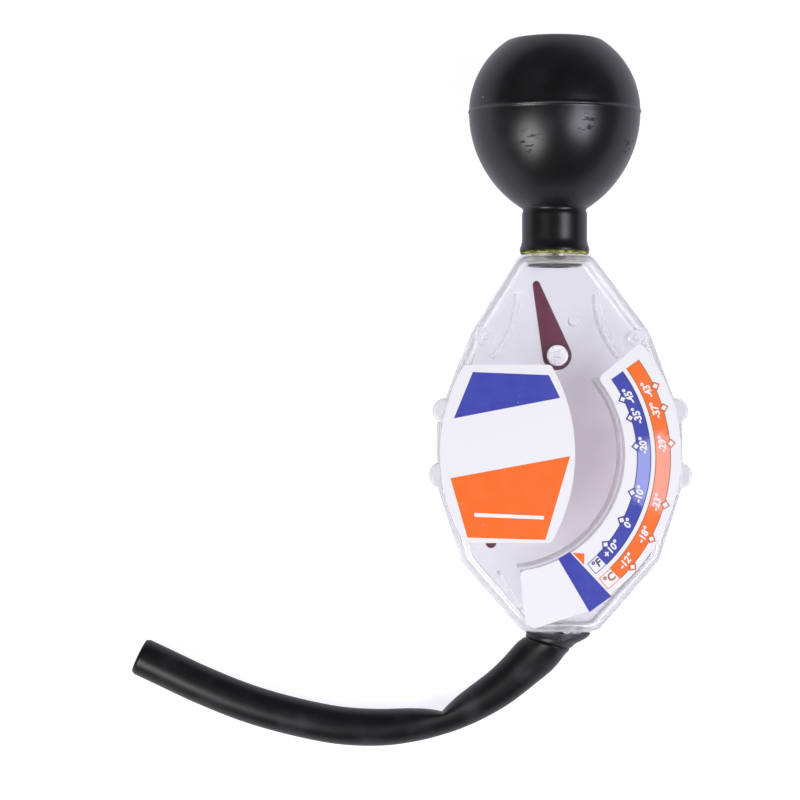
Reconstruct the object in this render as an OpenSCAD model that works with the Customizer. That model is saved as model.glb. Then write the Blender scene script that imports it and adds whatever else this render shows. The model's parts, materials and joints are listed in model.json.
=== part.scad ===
/* [Case] */
// Width across the straight sides
case_w = 64.4; // [60:0.2:70]
// Length from the outlet face to the neck face
case_h = 99.4; // [94:0.2:112]
// Thickness, front to back
case_t = 20; // [18:0.5:24]
// Thickness of the walls and faces
wall = 1.8; // [1.4:0.1:2.4]
// Width of the flat ends at the neck and the outlet
end_w = 19.2; // [19:0.1:22]
// Height of the lower corners above the outlet face
foot_y = 18.7; // [16:0.1:22]
// Width across the lower corners
foot_w = 51.8; // [46:0.2:56]
// Height where the straight sides begin
side_lo = 38.7; // [34:0.1:42]
// Height where the straight sides end
side_hi = 55.5; // [50:0.1:60]
// Height of the shoulder corners
shoulder_y = 79.2; // [75:0.1:84]
// Width across the shoulder corners
shoulder_w = 46.8; // [43:0.2:50]

/* [Lugs and pegs] */
// Diameter of the lugs on the sides
lug_d = 6.8; // [6:0.1:8]
// Thickness of the lugs, front to back
lug_t = 12; // [8:0.5:16]
// Height of the lower lugs
lug_lo_y = 41.3; // [38:0.1:45]
// Height of the upper lugs
lug_hi_y = 58.2; // [54:0.1:62]
// How far a lug's centre lies inside the outline
lug_inset = 1.3; // [1:0.1:2.4]
// Diameter of the round bosses in the shoulder corners
boss_d = 4.4; // [3.6:0.1:5]
// Diameter of the locating pegs
peg_d = 1.6; // [1.2:0.1:2]
// Length of the locating pegs
peg_len = 3; // [2:0.1:4]

/* [Chamber] */
// Sideways place of the pointer's pivot
pivot_x = -14.1; // [-15:0.1:-12]
// Height of the pointer's pivot
pivot_y = 47.1; // [45:0.1:49]
// Radius of the curved chamber wall about the pivot
chamber_r = 30.4; // [29:0.1:32]
// Thickness of the inner ribs
rib_t = 1.2; // [0.8:0.1:1.6]
// Lower end of the curved chamber wall, in degrees
chamber_lo = -84; // [-88:0.5:-78]
// Length of the straight rib beside the way in
entry_len = 11; // [8:0.5:12]
// Sideways place of the passage between the upper ribs
passage_x = -0.8; // [-1.6:0.1:0]
// Width of the passage between the upper ribs
passage_w = 20.8; // [19:0.1:22]
// Bend radius of the upper ribs
passage_r = 25; // [22:0.5:30]
// How far below the neck face the upper ribs start
passage_drop = 10.4; // [10:0.2:14]
// Angle through which the upper ribs bend
passage_turn = 42; // [36:1:46]

/* [Neck and outlet] */
// Sideways place of the neck
neck_x = -1.3; // [-2:0.1:2]
// Diameter of the neck spigot inside the bulb
spigot_d = 12; // [11:0.1:13]
// Length of the neck spigot
spigot_len = 10; // [8:0.5:11]
// Bore of the neck spigot
spigot_bore = 8.4; // [7:0.1:9]
// Diameter of the outlet spigot inside the hose
outlet_d = 12; // [10:0.1:13]
// Length of the outlet spigot
outlet_len = 1.8; // [1.6:0.1:3]
// Bore of the outlet spigot
outlet_bore = 8.4; // [6:0.1:8.6]
// Thickness of the neck seal
seal_t = 1; // [0.8:0.1:1.6]
// Outer diameter of the neck seal
seal_d = 18.6; // [17:0.1:18.8]

/* [Bulb] */
// Diameter at the widest line
bulb_d = 45; // [40:0.5:50]
// Thickness of the rubber
bulb_wall = 2; // [1.5:0.1:2.6]
// Height of the flat crown above the widest line
crown_h = 19.7; // [17:0.1:19.8]
// Radius of the long curve from the widest line to the neck
belly_r = 30; // [26:0.5:34]
// Outer diameter of the rubber neck
bulb_neck_d = 17.1; // [16.4:0.1:18]
// Length of the rubber neck
bulb_neck_len = 11; // [9:0.1:13]
// Diameter of the lip at the foot of the rubber neck
lip_d = 18.4; // [18.1:0.1:19]
// Height of that lip
lip_h = 1.6; // [1:0.1:2.4]
// Height of the moulding seam above the rubber
seam_h = 0.25; // [0.15:0.05:0.4]
// Width of the moulding seam
seam_w = 0.8; // [0.6:0.1:1.2]

/* [Pointer] */
// Reach of the tip from the pivot
pointer_len = 25.3; // [22:0.1:27]
// Diameter of the blunt tip
pointer_tip_d = 2.8; // [2:0.1:3.4]
// Diameter of the hub
hub_d = 9; // [8:0.1:11]
// Thickness of the hub
hub_t = 4; // [3:0.1:5]
// Thickness of the vane
vane_t = 2.4; // [1.6:0.1:2.8]
// Direction of the pointer at rest, from the right, in degrees
pointer_rest = -99.6; // [-112:0.1:-92]
// Diameter of the axle
axle_d = 2; // [1.6:0.1:2.6]
// Length of the axle held in each boss
axle_seat = 4; // [3:0.1:4.6]
// Diameter of the bosses that hold the axle
axle_boss_d = 6; // [5:0.1:7]

/* [Level float] */
// Sideways place of the float's pivot
float_x = -0.7; // [-1.5:0.1:0.5]
// Height of the float's pivot
float_y = 72.7; // [72:0.1:74]
// Reach of the float's tip from its pivot
float_len = 20.4; // [18:0.1:21]
// Diameter of the round end
float_hub_d = 7.6; // [7:0.1:8]
// Diameter of the tip
float_tip_d = 1.9; // [1.4:0.1:2.4]
// Thickness of the float
float_t = 3; // [2.4:0.1:4]
// Direction of the float at rest, from the right, in degrees
float_rest = 106.3; // [100:0.1:109]
// Diameter of the rivet's head
rivet_head_d = 5.6; // [4.8:0.1:6]
// Thickness of the rivet's head
rivet_head_t = 1; // [0.8:0.1:1.4]
// Diameter of the rivet's shank
rivet_d = 2.4; // [2:0.1:3]
// Length of the shank held in its boss
rivet_seat = 4; // [3:0.1:4.6]
// Diameter of the boss that holds the rivet
rivet_boss_d = 5.2; // [4.6:0.1:6]
// Diameter of the peg that stops the float
stop_d = 2.8; // [2:0.1:3.2]
// Distance of that peg from the float's pivot
stop_reach = 10.4; // [9.5:0.1:12]
// Direction of that peg from the float's pivot, in degrees
stop_angle = 63; // [56:0.5:66]

/* [Labels] */
// Thickness of the labels
label_t = 0.2; // [0.1:0.05:0.4]
// Width of the title label at its middle
title_w = 35; // [32:0.1:36]
// Height of the title label
title_h = 46.2; // [42:0.1:48]
// Radius of the title label's bowed sides
title_side_r = 46; // [40:0.5:60]
// Inner radius of the scale label about the pivot
scale_r_in = 30.5; // [30:0.1:32]
// Outer radius of the scale label about the pivot
scale_r_out = 45; // [42:0.1:46]
// Upper end of the scale label, in degrees
scale_hi = 40; // [36:0.5:42]
// Outer radius of the legend block below the scale
legend_r = 46; // [45:0.1:48]
// Last edge of the legend block, in degrees
legend_lo = -84; // [-86:0.5:-80]
// First edge of the legend block, in degrees
legend_hi = -54; // [-57:0.5:-52]
// Margin that a label keeps from the edge of the case
label_margin = 0.6; // [0.4:0.1:1]
// Radius of the labels' corners
label_corner_r = 1.6; // [0.4:0.1:2.4]

/* [Hose] */
// Outer diameter of the hose
hose_d = 10; // [9:0.1:11]
// Thickness of the hose's rubber
hose_wall = 1.7; // [1.3:0.1:2]
// Distance over which the stretched end narrows to the hose
flare_run = 7; // [4:0.5:8]
// How much of the inner side the kink presses in
kink_depth = 0.6; // [0:0.05:0.65]
// Length of hose that the kink draws in
kink_run = 6; // [4:0.5:8]
// Distance over which the hose comes down to the surface
drop_run = 42; // [34:1:60]

/* [Clearances] */
// Radial gap of a turning or soft fit
fit_gap = 0.05; // [0.02:0.01:0.1]
// Side gap between a hub and its bosses
side_gap = 0.2; // [0.1:0.05:0.3]

/* [Hidden] */
$fn = 96;

// Half-heights of the case and of its inside
half_t = case_t / 2;
inside_t = half_t - wall;
// A cut's reach past the face that it opens
over = 1;

// The case's outline: its right side from the outlet up, then its left side down
right_side = [[end_w / 2, 0], [foot_w / 2, foot_y], [case_w / 2, side_lo], [case_w / 2, side_hi],
              [shoulder_w / 2, shoulder_y], [neck_x + end_w / 2, case_h]];
left_side = [[neck_x - end_w / 2, case_h], [-shoulder_w / 2, shoulder_y], [-case_w / 2, side_hi],
             [-case_w / 2, side_lo], [-foot_w / 2, foot_y], [-end_w / 2, 0]];
outline = concat(right_side, left_side);

// Half-width of the straight-edged outline at a height
function half_at(y) = lookup(y, [for (p = right_side) [p.y, p.x]]);

// The outline moved inwards by d, each corner along its mitre
function inward(a, b) = [a.y - b.y, b.x - a.x] / norm(b - a);
function inset(pts, d) = [
    for (i = [0 : len(pts) - 1])
        let (p = pts[i],
             n0 = inward(pts[(i + len(pts) - 1) % len(pts)], p),
             n1 = inward(p, pts[(i + 1) % len(pts)]))
        p + d * (n0 + n1) / (1 + n0 * n1)
];

// Places that several pieces share
pivot = [pivot_x, pivot_y];
float_pivot = [float_x, float_y];
float_stop = float_pivot + polar(stop_reach, stop_angle);
lug_ys = [lug_lo_y, lug_hi_y];
lugs = [for (s = [-1, 1], y = lug_ys) [s * (half_at(y) - lug_inset), y]];
boss_in = wall + boss_d / 2;
bosses = [for (p = inset(outline, boss_in)) if (p.y > side_hi && p.y < case_h - passage_drop) p];
pegs = concat(lugs, bosses);
function polar(r, a) = r * [cos(a), sin(a)];

// The bulb's own heights
bulb_r = bulb_d / 2;
seam_r = bulb_r + seam_h;
belly_off = belly_r - bulb_r;
belly_drop = sqrt(pow(belly_r, 2) - pow(bulb_neck_d / 2 + belly_off, 2));
neck_foot_y = case_h + seal_t + fit_gap;
bulb_y = neck_foot_y + bulb_neck_len + belly_drop;
crown_r = sqrt(pow(bulb_r, 2) - pow(crown_h, 2));

// The tester lies on its back: the bulb's seam and the case's outlet edge touch the surface
tilt = atan((seam_r - half_t) / (bulb_y - seam_w / 2));
low_y = -outlet_len * cos(tilt) - outlet_d / 2 * sin(tilt);
high_y = (bulb_y + crown_h) * cos(tilt) + crown_r * sin(tilt);
mid_y = (low_y + high_y) / 2;
rise = half_t * cos(tilt);
function place(p) = [
    p.x,
    p.y * cos(tilt) - p.z * sin(tilt) - mid_y,
    p.y * sin(tilt) + p.z * cos(tilt) + rise
];

// Puts a piece from the case's own frame, with the dial facing +Z, on the surface
module lie() translate([0, -mid_y, rise]) rotate([tilt, 0, 0]) children();

// A cylinder along the case's length, from y0 to y1
module along_y(x, d, y0, y1)
    translate([x, y0, 0]) rotate([-90, 0, 0]) cylinder(d = d, h = y1 - y0);

// A flat arc of width w about the origin, from angle a0 to a1
module arc_band(r, w, a0, a1) {
    reach = 2 * (r + w);
    steps = 6;
    intersection() {
        difference() {
            circle(r = r + w / 2);
            circle(r = r - w / 2);
        }
        polygon(concat([[0, 0]], [for (i = [0 : steps]) polar(reach, a0 + (a1 - a0) * i / steps)]));
    }
}

// A flat drop shape: two circles and the tangent lines between them
module drop(d0, d1, reach) {
    span = reach - d1 / 2;
    a = acos((d0 - d1) / 2 / span);
    circle(d = d0);
    translate([span, 0]) circle(d = d1);
    polygon([polar(d0 / 2, a), polar(d0 / 2, -a),
             [span, 0] + polar(d1 / 2, -a), [span, 0] + polar(d1 / 2, a)]);
}

// Ribs that shape the passage, the chamber and the way in from the outlet
rib_start = case_h - passage_drop;
entry_from = -93.5;
entry_angle = -58;
module ribs_flat() {
    translate(pivot) arc_band(chamber_r, rib_t, chamber_lo, scale_hi);
    for (s = [-1, 1])
        translate([passage_x + s * (passage_w / 2 + passage_r), rib_start])
            arc_band(passage_r, rib_t, 90 + s * 90, 90 + s * (90 + passage_turn));
    translate(pivot + polar(chamber_r + rib_t, entry_from))
        rotate(entry_angle) square([entry_len, rib_t]);
}

// One half of the case, from its parting face at z = 0 up to its face
module tray() {
    difference() {
        union() {
            difference() {
                linear_extrude(half_t) polygon(outline);
                translate([0, 0, -over]) linear_extrude(inside_t + over) polygon(inset(outline, wall));
            }
            for (c = lugs)
                translate(c) cylinder(d = lug_d, h = lug_t / 2);
            for (c = bosses)
                translate(c) cylinder(d = boss_d, h = half_t - wall / 2);
            linear_extrude(half_t - wall / 2) intersection() {
                ribs_flat();
                polygon(inset(outline, wall / 2));
            }
            intersection() {
                union() {
                    along_y(neck_x, spigot_d, case_h - wall, case_h + spigot_len);
                    along_y(0, outlet_d, -outlet_len, wall);
                }
                translate([-end_w, -outlet_len - over, 0])
                    cube([2 * end_w, case_h + spigot_len + outlet_len + 2 * over, half_t]);
            }
        }
        along_y(neck_x, spigot_bore, case_h - 2 * wall, case_h + spigot_len + over);
        along_y(0, outlet_bore, -outlet_len - over, 2 * wall);
    }
}

module back_shell() color([0.86, 0.86, 0.92, 0.35]) lie() {
    axle_face = hub_t / 2 + side_gap;
    rivet_face = float_t / 2 + side_gap;
    difference() {
        union() {
            mirror([0, 0, 1]) tray();
            for (c = pegs)
                translate([c.x, c.y, -peg_len]) cylinder(d = peg_d, h = 2 * peg_len);
            translate([pivot.x, pivot.y, -inside_t - wall / 2])
                cylinder(d = axle_boss_d, h = inside_t + wall / 2 - axle_face);
            translate([float_pivot.x, float_pivot.y, -inside_t - wall / 2])
                cylinder(d = rivet_boss_d, h = inside_t + wall / 2 - rivet_face);
            translate([float_stop.x, float_stop.y, -inside_t - wall / 2])
                cylinder(d = stop_d, h = inside_t + wall / 2 + float_t / 2);
        }
        translate([pivot.x, pivot.y, -axle_face - axle_seat])
            cylinder(d = axle_d, h = axle_seat + over);
        translate([float_pivot.x, float_pivot.y, -rivet_face - rivet_seat])
            cylinder(d = rivet_d, h = rivet_seat + over);
    }
}

module front_shell() color([0.86, 0.86, 0.92, 0.35]) lie() {
    axle_face = hub_t / 2 + side_gap;
    difference() {
        union() {
            tray();
            translate([pivot.x, pivot.y, axle_face])
                cylinder(d = axle_boss_d, h = inside_t + wall / 2 - axle_face);
        }
        for (c = pegs)
            translate([c.x, c.y, -over])
                cylinder(d = peg_d + 2 * fit_gap, h = peg_len + 2 * fit_gap + over);
        translate([pivot.x, pivot.y, axle_face - over])
            cylinder(d = axle_d, h = axle_seat + over);
    }
}

// How far the legend block reaches into the scale's band, and its corner between its two faces
legend_lap = 3;
legend_mid = (legend_lo + 3 * legend_hi) / 4;

// A label's outline, kept inside the edge of the case, with rounded corners, and set on the front face
module label() lie() translate([0, 0, half_t]) linear_extrude(label_t)
    offset(r = label_corner_r) offset(delta = -label_corner_r) intersection() {
        children();
        polygon(inset(outline, label_margin));
    }

module title_label() color([0.97, 0.97, 0.97]) label() translate(pivot) intersection() {
    side = title_side_r - title_w / 2;
    translate([side, 0]) circle(r = title_side_r);
    translate([-side, 0]) circle(r = title_side_r);
    square([title_w, title_h], center = true);
}

module scale_label() color([0.25, 0.29, 0.71]) label() translate(pivot) union() {
    inner = scale_r_out - legend_lap;
    arc_band((scale_r_in + scale_r_out) / 2, scale_r_out - scale_r_in, legend_lo, scale_hi);
    polygon([polar(inner, legend_lo + over), polar(legend_r, legend_lo + over),
             polar(legend_r, legend_mid), polar(legend_r, legend_hi), polar(inner, legend_hi)]);
}

module pointer() color([0.42, 0.16, 0.27]) lie() translate(pivot) rotate(pointer_rest) difference() {
    union() {
        translate([0, 0, -vane_t / 2]) linear_extrude(vane_t) drop(hub_d, pointer_tip_d, pointer_len);
        translate([0, 0, -hub_t / 2]) cylinder(d = axle_boss_d, h = hub_t);
    }
    translate([0, 0, -hub_t]) cylinder(d = axle_d + 2 * fit_gap, h = 2 * hub_t);
}

module pointer_axle() color("silver") lie() {
    half_len = hub_t / 2 + side_gap + axle_seat;
    translate([pivot.x, pivot.y, -half_len]) cylinder(d = axle_d, h = 2 * half_len);
}

module level_float() color([0.42, 0.16, 0.27]) lie() translate(float_pivot) rotate(float_rest) difference() {
    translate([0, 0, -float_t / 2]) linear_extrude(float_t) drop(float_hub_d, float_tip_d, float_len);
    translate([0, 0, -float_t]) cylinder(d = rivet_d + 2 * fit_gap, h = 2 * float_t);
}

module float_rivet() color([0.93, 0.93, 0.94]) lie() translate(float_pivot) {
    face = float_t / 2 + side_gap;
    translate([0, 0, face]) cylinder(d = rivet_head_d, h = rivet_head_t);
    translate([0, 0, -face - rivet_seat]) cylinder(d = rivet_d, h = 2 * face + rivet_seat);
}

module neck_seal() color([0.72, 0.75, 0.25]) lie() difference() {
    along_y(neck_x, seal_d, case_h, case_h + seal_t);
    along_y(neck_x, spigot_d + 2 * fit_gap, case_h - over, case_h + seal_t + over);
}

// Half of the bulb's section, inset by d, about its widest line at y = 0
module bulb_section(d) {
    intersection() {
        circle(r = bulb_r - d);
        square([bulb_r, crown_h - d]);
    }
    intersection() {
        translate([-belly_off, 0]) circle(r = belly_r - d);
        translate([0, -belly_drop]) square([bulb_r, belly_drop]);
    }
}

module squeeze_bulb() color([0.12, 0.12, 0.13]) lie()
    translate([neck_x, bulb_y, 0]) rotate([-90, 0, 0]) rotate_extrude() difference() {
        foot = -belly_drop - bulb_neck_len;
        union() {
            bulb_section(0);
            translate([0, foot]) square([bulb_neck_d / 2, bulb_neck_len]);
            translate([0, foot]) square([lip_d / 2, lip_h]);
            translate([0, -seam_w / 2]) square([seam_r, seam_w]);
        }
        bulb_section(bulb_wall);
        translate([0, foot - over])
            square([spigot_d / 2 + fit_gap, bulb_neck_len + bulb_wall + over]);
    }

// The hose's free route in plan, from the outlet: right, towards the neck, and the way a ring faces
hose_route = [
    [-3.2, -4.8, 242], [-7.9, -7.9, 223], [-12.3, -11.5, 217], [-16.2, -14.6, 213],
    [-20.6, -17.3, 208], [-25.4, -19.7, 204], [-30.6, -21.7, 198], [-38, -23.7, 191],
    [-47, -24.9, 182], [-58, -24.5, 173], [-70, -22.2, 166], [-82, -18.8, 161],
    [-94, -14.1, 157], [-105, -9, 155], [-111, -6.2, 155]
];
kink_at = [-30.6, -21.7];
hose_sides = 12;
hose_steps = 2;
hose_r = hose_d / 2;
exit = place([0, 0, 0]);
cuff_end = place([0, -outlet_len - side_gap, 0]);

// A point between b and c on the smooth curve through a, b, c and d
function smooth(a, b, c, d, t) =
    b + 0.5 * t * (c - a + t * (2 * a - 5 * b + 4 * c - d + t * (3 * b - 3 * c + d - a)));
function knot(i) = hose_route[min(max(i, 0), len(hose_route) - 1)];
hose_plan = [
    for (i = [0 : len(hose_route) - 2], k = [0 : hose_steps - 1])
        smooth(knot(i - 1), knot(i), knot(i + 1), knot(i + 2), k / hose_steps),
    knot(len(hose_route) - 1)
];
function fade(d, run) = exp(-pow(d / run, 2));
function kink(p) = fade(norm([p.x, p.y] - kink_at), kink_run);

// A ring about c: it faces heading, leans by pitch, and its inner side is drawn in by the share press
function hose_ring(c, heading, pitch, r, press) = let (
    ahead = [cos(heading), sin(heading), 0],
    side = [sin(heading), -cos(heading), 0],
    up = sin(pitch) * ahead + [0, 0, cos(pitch)]
) [
    for (k = [0 : hose_sides - 1]) let (a = 360 * k / hose_sides, u = r * cos(a))
        c + (u > 0 ? u * (1 - press) : u) * side + r * sin(a) * up
];
cuff_r = outlet_d / 2 + fit_gap;
function cuff_rings(r) = [for (c = [exit, cuff_end]) hose_ring(c, 270, tilt, r, 0)];
function free_ring(p, bore) = let (
    run = norm([p.x, p.y]),
    flare = (cuff_r + hose_wall - hose_r) * exp((outlet_len - run) / flare_run),
    left = max(0, 1 - run / drop_run),
    z = hose_r + (exit.z - hose_r) * left * (2 - left)
) hose_ring([exit.x + p.x, exit.y + p.y, z], p.z, 0, hose_r + flare - bore, kink_depth * kink(p));
hose_skin = concat(cuff_rings(cuff_r + hose_wall), [for (p = hose_plan) free_ring(p, 0)]);
hose_bore = concat(cuff_rings(cuff_r / cos(180 / hose_sides)), [for (p = hose_plan) free_ring(p, hose_wall)]);

// The stretch on the outlet ends, and the lying stretch begins, at this route point and this ring
cuff_knots = 3;
hose_split = len(cuff_rings(cuff_r)) + cuff_knots * hose_steps;

// Number of point k on ring i
function point_at(i, k) = i * hose_sides + k % hose_sides;

// A stretch of the hose from one of its rings to another, with its bore
module hose_stretch(first, last) {
    n = last - first + 1;
    skin = [for (i = [first : last]) hose_skin[i]];
    bore = [for (i = [first : last]) hose_bore[i]];
    walls = [for (i = [0 : n - 2], k = [0 : hose_sides - 1]) each [
        [point_at(i, k), point_at(i + 1, k + 1), point_at(i + 1, k)],
        [point_at(i, k), point_at(i, k + 1), point_at(i + 1, k + 1)],
        [point_at(n + i, k), point_at(n + i + 1, k), point_at(n + i + 1, k + 1)],
        [point_at(n + i, k), point_at(n + i + 1, k + 1), point_at(n + i, k + 1)]
    ]];
    ends = [for (k = [0 : hose_sides - 1]) each [
        [point_at(0, k), point_at(n, k), point_at(n, k + 1)],
        [point_at(0, k), point_at(n, k + 1), point_at(0, k + 1)],
        [point_at(n - 1, k), point_at(2 * n - 1, k + 1), point_at(2 * n - 1, k)],
        [point_at(n - 1, k), point_at(n - 1, k + 1), point_at(2 * n - 1, k + 1)]
    ]];
    polyhedron([for (ring = concat(skin, bore)) each ring], concat(walls, ends));
}

module hose_cuff() color([0.12, 0.12, 0.13]) hose_stretch(0, hose_split);

module hose() color([0.1, 0.1, 0.11]) hose_stretch(hose_split, len(hose_skin) - 1);

back_shell();
front_shell();
title_label();
scale_label();
pointer();
pointer_axle();
level_float();
float_rivet();
neck_seal();
squeeze_bulb();
hose_cuff();
hose();
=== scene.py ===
"""Antifreeze tester lying on its back: the looks of its pieces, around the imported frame.

Sizes are in millimetres of the case's own frame (right, towards the bulb, out of the dial),
and lie() puts them into the frame in metres.
"""
import json
import math

import bmesh
import bpy
import numpy as np
from mathutils import Matrix, Vector


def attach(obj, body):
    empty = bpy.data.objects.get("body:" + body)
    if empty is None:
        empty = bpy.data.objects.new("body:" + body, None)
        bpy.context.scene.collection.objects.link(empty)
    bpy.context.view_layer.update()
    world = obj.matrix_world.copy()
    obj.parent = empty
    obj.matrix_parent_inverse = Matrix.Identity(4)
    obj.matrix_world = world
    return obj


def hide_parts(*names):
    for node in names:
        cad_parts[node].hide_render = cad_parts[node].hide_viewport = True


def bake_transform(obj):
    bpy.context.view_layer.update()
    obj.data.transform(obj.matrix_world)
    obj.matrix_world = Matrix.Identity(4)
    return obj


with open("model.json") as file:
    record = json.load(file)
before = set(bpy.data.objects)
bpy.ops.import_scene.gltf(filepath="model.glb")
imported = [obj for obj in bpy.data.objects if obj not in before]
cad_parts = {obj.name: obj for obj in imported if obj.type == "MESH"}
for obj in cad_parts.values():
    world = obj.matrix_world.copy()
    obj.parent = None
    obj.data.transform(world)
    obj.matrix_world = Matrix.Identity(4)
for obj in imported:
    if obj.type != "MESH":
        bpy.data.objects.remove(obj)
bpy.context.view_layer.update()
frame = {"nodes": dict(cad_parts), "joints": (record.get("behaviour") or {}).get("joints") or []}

MM = 0.001

# The case
HALF_T = 10.0
WALL = 1.8
CASE_H = 99.4
NECK_X = -1.3
CASE_KNOTS = [
    (9.6, 0.0), (25.9, 18.7), (32.2, 38.7), (32.2, 55.5), (23.4, 79.2), (8.3, 99.4),
    (-10.9, 99.4), (-23.4, 79.2), (-32.2, 55.5), (-32.2, 38.7), (-25.9, 18.7), (-9.6, 0.0),
]
CORNER_R = 5.0
PARTING_GAP = 0.03
FLANGE_H = 1.0
FLANGE_STEP = 0.5
FLANGE_SLOPE = 0.3
WALL_LEAN = 0.3
INNER_DRAFT = 0.4
EDGE_R = 1.8
COVE_R = 1.0
FLAT_ROW = 0.3
FACE_MIDDLE = HALF_T - WALL / 2

# Painted reflection as frosted white: how much, how far in from the outline or from a rib, and what is
# steep
RIM_GLARE = 0.6
RIM_REACH = 3.6
RIB_GLARE = 0.5
RIB_REACH = 1.6
WALL_GLARE = 0.1
WALL_REACH = 1.2
LUG_GLARE = 0.4
LUG_REACH = 2.0
STEEP = 0.8

# Pivots, lugs, bosses, pegs and the float's stop
PIVOT = np.array([-14.1, 47.1])
FLOAT_PIVOT = np.array([-0.7, 72.7])
LUGS = [(-30.9, 41.3), (-29.9, 58.2), (30.9, 41.3), (29.9, 58.2)]
LUG_D = 6.8
LUG_T = 12.0
LUG_EDGE = 0.8
BOSSES = [(-19.8, 77.5), (19.8, 77.3)]
BOSS_D = 4.4
PEG_D = 1.6
PEG_LEN = 3.0
PEG_EDGE = 0.3
PEG_PLAY = 0.1
AXLE_BOSS_D = 6.0
AXLE_BOSS_LOW = 2.2
RIVET_BOSS_D = 5.2
RIVET_BOSS_LOW = 1.7
STOP_REACH = 10.4
STOP_HEADING = 63.0
STOP_D = 2.8
STOP_TOP = 1.5
STOP_EDGE = 0.6

# The ribs in plan: round the chamber, at both sides of the passage under the neck, and at the way in
RIB_W = 1.2
RIB_DRAFT = 0.3
CHAMBER_R = 30.4
CHAMBER_SPAN = (-84, 40)
PASSAGE_X = -0.8
PASSAGE_Y = 89.0
PASSAGE_W = 20.8
PASSAGE_R = 25.0
PASSAGE_TURN = 42
ENTRY_R = 31.6
ENTRY_AT = -93.5
ENTRY_LEN = 11.0
ENTRY_HEADING = -58.0

# The pointer and the float as drops: thickness, edge, hub and tip diameters, reach and heading
POINTER_DROP = (2.4, 0.5, 9.0, 2.8, 25.3, -99.6)
POINTER_HUB_D = 6.0
POINTER_HUB_H = 4.0
POINTER_HUB_EDGE = 0.3
POINTER_BORE = 2.1
FLOAT_DROP = (3.0, 0.6, 7.6, 1.9, 20.4, 106.3)
FLOAT_BORE = 2.5
BORE_REACH = 4.0
RIVET_PIN_R = 1.2
RIVET_FOOT = -5.7
RIVET_SEAT = 1.7
RIVET_HEAD_R = 2.8
RIVET_EDGE = 0.5
RIVET_TOP = 2.7
RIVET_DOME = 0.02

# The neck, its seal and the outlet
SPIGOT_D = 12.0
SPIGOT_BORE = 8.4
SPIGOT_LEN = 10.0
OUTLET_LEN = 1.8
SPIGOT_FIT = 0.05
SEAL_D = 18.6
SEAL_T = 1.0
SEAL_BEAD_R = 0.3
SEAL_BEAD_IN = 0.25
SEAL_TOP_IN = 0.7
# A dark rubber flange in the case's neck: a painted reflection of the black neck in the clear plastic.
NECK_REFLECTION_D = 14.4
NECK_REFLECTION_EDGE = 0.7
NECK_REFLECTION_GAP = 0.15
NECK_REFLECTION_FIT = 0.1

# The bulb, about its widest line
BULB_D = 45.0
BULB_Y = 136.796
BULB_WALL = 2.0
CROWN_H = 19.7
DOME_R = 90.0
CROWN_EDGE_R = 4.0
BELLY_R = 30.0
BULB_NECK_D = 17.1
BULB_FOOT_Y = 100.45
LIP_D = 18.4
LIP_RUN = 1.4
LIP_ROLL = 0.4
LIP_ROLL_IN = 0.35
NECK_LOW = 0.3
NECK_HIGH = 0.6
NECK_CREASE = 0.3
NECK_CREASE_RUN = 0.5
SEAM_H = 0.25
SEAM_W = 0.8
SEAM_DEGREES = 2

# The hose: its route in plan from the outlet, and the way a ring faces
HOSE_ROUTE = [
    (0, 0, 268), (-0.5, -OUTLET_LEN, 263),
    (-4.2, -4.5, 246), (-8.2, -7.8, 225), (-12.3, -11.5, 217), (-16.2, -14.6, 213),
    (-20.6, -17.3, 208), (-25.4, -19.7, 204), (-30.6, -21.7, 198), (-38, -23.7, 191),
    (-47, -24.9, 182), (-58, -24.5, 173), (-70, -22.2, 166), (-82, -18.8, 161),
    (-94, -14.1, 157), (-105, -9, 155), (-111, -6.2, 155),
]
HOSE_D = 10.0
HOSE_WALL = 1.7
CUFF_R = 6.05
FLARE_RUN = 7.0
LEVEL_RUN = 6.0
DROP_RUN = 42.0
DROP_EASE = 12.0
KINK_AT = (-30.6, -21.7)
KINK_DEPTH = 0.82
KINK_RUN = 6.5
END_WEAR = 0.5
END_WEAR_RUN = 1.2

# Swells along the hose from the outlet: height, middle and reach
CUFF_CREASE = (0.5, 3.7, 0.3)
CUFF_PULLS = [(0.25, 3.8, 3.6), (0.15, 2.2, 1.2)]
CUFF_SPREAD = (0.15, 0.0, 2.8)

# The printing on the labels, with the title's corners measured from the pivot
LABEL_T = 0.2
LABEL_TOP = HALF_T + LABEL_T
INK = 0.03
SCALE_CENTRE = np.array([-15.5, 45.85])
BLUE_RADII = (35.0, 38.5)
BLUE_MARKS_R = 34.8
ORANGE_RADII = (39.8, 43.6)
ORANGE_MARKS_R = 43.9
BAND_SPAN = (-45.3, 36)
BAND_EDGE = 0.2
UNIT_SPAN = (-51.1, -45.3)
UNIT_RIM = 0.2
UNIT_RIM_DEGREES = 0.3
UNIT_SIZE = 2.9
UNIT_TURN = 40
UNIT_WEIGHT = 0.03
NUMBER_SIZE = 2.55
NUMBER_WEIGHT = 0.038
FIGURE_LEAN = 0.12
MARK_OUTER = 1.25
MARK_MIDDLE = 1.0
MARK_INNER = 0.72
FAHRENHEIT = {26.3: "-45°", 17.7: "-35°", 5.3: "-20°", -14.6: "-10°", -27.2: "0°", -39.7: "+10°"}
CELSIUS = {25.4: "-43°", 17.5: "-37°", 5.2: "-29°", -15.8: "-23°", -28.3: "-18°", -39.7: "-12°"}
TITLE_BLUE = [(-9.0, 21.2), (-13.9, 9.2), (13.6, 14.5), (10.7, 20.4)]
TITLE_ORANGE = [(-14.8, -6.3), (-10.4, -21.7), (9.8, -22.3), (16.2, -0.6)]
TITLE_RULE = [(-8.6, -15.3), (-8.6, -16.3), (9.4, -17.0), (9.4, -16.1)]
LEGEND_BAR = [(-1.0, 19.9), (7.1, 6.1), (12.8, 10.2), (2.0, 21.7)]
LEGEND_WEDGE = [(2.7, 21.5), (5.7, 18.3), (5.8, 21.3)]
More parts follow.
